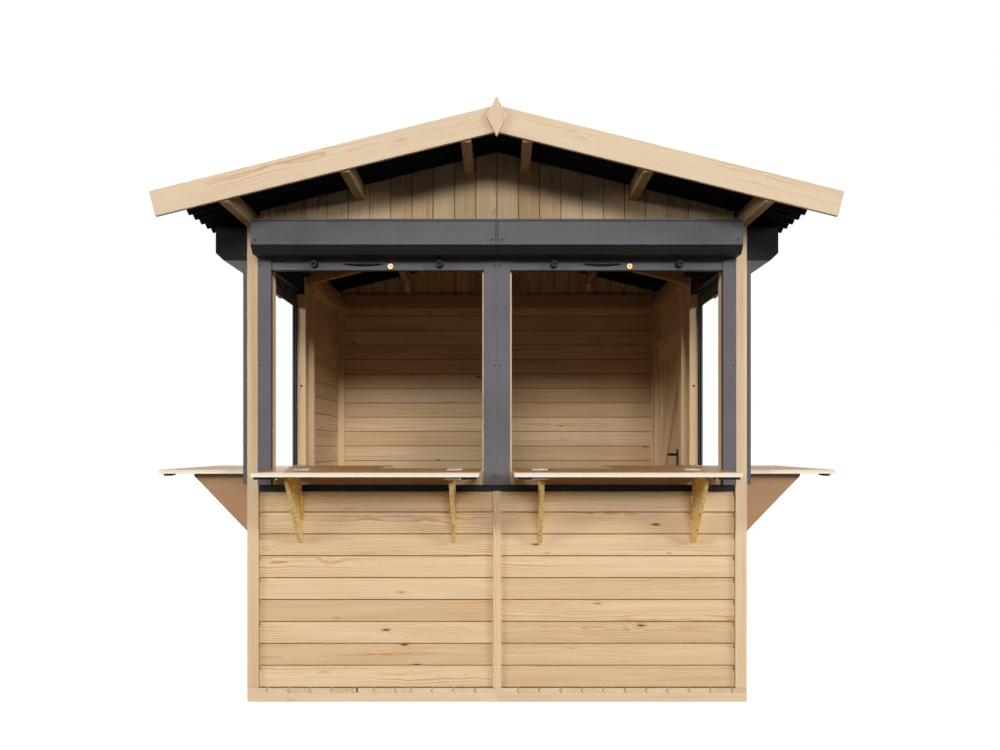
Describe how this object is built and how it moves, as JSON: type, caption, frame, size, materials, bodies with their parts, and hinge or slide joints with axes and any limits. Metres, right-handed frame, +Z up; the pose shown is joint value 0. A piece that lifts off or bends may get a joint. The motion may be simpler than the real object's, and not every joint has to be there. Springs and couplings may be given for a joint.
{
  "type": "wooden market stall",
  "caption": "Square timber stall with counter openings under rolled-up shutters, folding counters on swing brackets, rear side door and corrugated gable roof.",
  "frame": {"origin": "on the ground, at the centre of the plan", "axes": "+X to the right and +Y to the back seen from the front with the two counters, +Z up; the ridge runs along Y"},
  "size_m": [3.46, 3.502, 2.8449],
  "materials": {
    "pine": "planed spruce with fine grain and small knots, clear satin",
    "barge_wood": "planed pale spruce, satin",
    "anthracite": "anthracite powder coat, satin",
    "bitumen_sheet": "black corrugated bitumen sheet, matt",
    "counter_board": "brown phenol film on plywood, pale cut edges",
    "strand_board": "oriented strand board with dark flecks",
    "brown_board": "brown phenol film on plywood, satin",
    "black_rubber": "black moulded rubber",
    "lock_brass": "polished brass lock face",
    "zinc_steel": "zinc-plated steel hinge, satin",
    "black_iron": "black painted steel"
  },
  "bodies": {
    "stall": {"back_gable": "pine", "back_wall": "pine", "barge_boards": "barge_wood", "bracket_hinges": "zinc_steel", "bracket_packers": "pine", "corner_posts": "pine", "corner_trims": "pine", "counter_hinges": "zinc_steel", "cover_battens": "pine", "door_frame": "pine", "door_hinge_plates": "black_iron", "finials": "barge_wood", "floor_bearers": "pine", "floor_panels": "pine", "front_gable": "pine", "front_wall": "pine", "front_worktops": "counter_board", "gable_studs": "pine", "guide_rails": "anthracite", "left_wall_rear": "pine", "opening_headers": "pine", "opening_posts": "pine", "purlins": "pine", "rafters": "pine", "ridge_cap": "bitumen_sheet", "right_wall_rear": "pine", "roof_sheet_left": "bitumen_sheet", "roof_sheet_right": "bitumen_sheet", "shutter_bars": "anthracite", "shutter_box_front_left": "anthracite", "shutter_box_front_right": "anthracite", "shutter_box_left": "anthracite", "shutter_box_right": "anthracite", "shutter_grips": "black_rubber", "shutter_locks": "lock_brass", "shutter_stops": "black_rubber", "side_walls_low": "pine", "side_worktops": "counter_board", "sill_profiles": "anthracite", "sill_rails": "pine", "wall_plates": "pine", "wall_studs": "pine"},
    "flap_front_left": {"flap_front_left": "counter_board"},
    "flap_front_right": {"flap_front_right": "counter_board"},
    "flap_left": {"flap_left": "counter_board"},
    "flap_right": {"flap_right": "counter_board"},
    "door": {"door_leaf": "pine", "door_ledges": "pine", "door_hinges": "black_iron", "door_lock": "black_iron"},
    "bracket_front_left_a": {"bracket_front_left_a": "strand_board"},
    "bracket_front_left_b": {"bracket_front_left_b": "strand_board"},
    "bracket_front_right_a": {"bracket_front_right_a": "strand_board"},
    "bracket_front_right_b": {"bracket_front_right_b": "strand_board"},
    "bracket_left_a": {"bracket_left_a": "brown_board"},
    "bracket_left_b": {"bracket_left_b": "brown_board"},
    "bracket_right_a": {"bracket_right_a": "brown_board"},
    "bracket_right_b": {"bracket_right_b": "brown_board"}
  },
  "joints": [
    {"name": "flap_front_left_fold", "type": "hinge", "parent": "stall", "child": "flap_front_left", "pos_m": [-0.59925, -1.21, 1.1629], "axis": [-1, 0, 0], "range_deg": [0, 90]},
    {"name": "flap_front_right_fold", "type": "hinge", "parent": "stall", "child": "flap_front_right", "pos_m": [0.59925, -1.21, 1.1629], "axis": [-1, 0, 0], "range_deg": [0, 90]},
    {"name": "flap_left_fold", "type": "hinge", "parent": "stall", "child": "flap_left", "pos_m": [-1.21, -0.624, 1.1629], "axis": [0, 1, 0], "range_deg": [0, 90]},
    {"name": "flap_right_fold", "type": "hinge", "parent": "stall", "child": "flap_right", "pos_m": [1.21, -0.624, 1.1629], "axis": [0, -1, 0], "range_deg": [0, 90]},
    {"name": "door_swing", "type": "hinge", "parent": "stall", "child": "door", "pos_m": [1.237, 1.0225, 1], "axis": [0, 0, 1], "range_deg": [0, 110]},
    {"name": "bracket_front_left_a_swing", "type": "hinge", "parent": "stall", "child": "bracket_front_left_a", "pos_m": [-0.9706, -1.255, 0.97], "axis": [0, 0, 1], "range_deg": [0, 90]},
    {"name": "bracket_front_left_b_swing", "type": "hinge", "parent": "stall", "child": "bracket_front_left_b", "pos_m": [-0.2279, -1.255, 0.97], "axis": [0, 0, -1], "range_deg": [0, 90]},
    {"name": "bracket_front_right_a_swing", "type": "hinge", "parent": "stall", "child": "bracket_front_right_a", "pos_m": [0.2279, -1.255, 0.97], "axis": [0, 0, 1], "range_deg": [0, 90]},
    {"name": "bracket_front_right_b_swing", "type": "hinge", "parent": "stall", "child": "bracket_front_right_b", "pos_m": [0.9706, -1.255, 0.97], "axis": [0, 0, -1], "range_deg": [0, 90]},
    {"name": "bracket_right_a_swing", "type": "hinge", "parent": "stall", "child": "bracket_right_a", "pos_m": [1.255, -1.0276, 0.97], "axis": [0, 0, 1], "range_deg": [0, 90]},
    {"name": "bracket_right_b_swing", "type": "hinge", "parent": "stall", "child": "bracket_right_b", "pos_m": [1.255, -0.2204, 0.97], "axis": [0, 0, -1], "range_deg": [0, 90]},
    {"name": "bracket_left_a_swing", "type": "hinge", "parent": "stall", "child": "bracket_left_a", "pos_m": [-1.255, -0.2204, 0.97], "axis": [0, 0, 1], "range_deg": [0, 90]},
    {"name": "bracket_left_b_swing", "type": "hinge", "parent": "stall", "child": "bracket_left_b", "pos_m": [-1.255, -1.0276, 0.97], "axis": [0, 0, -1], "range_deg": [0, 90]}
  ]
}
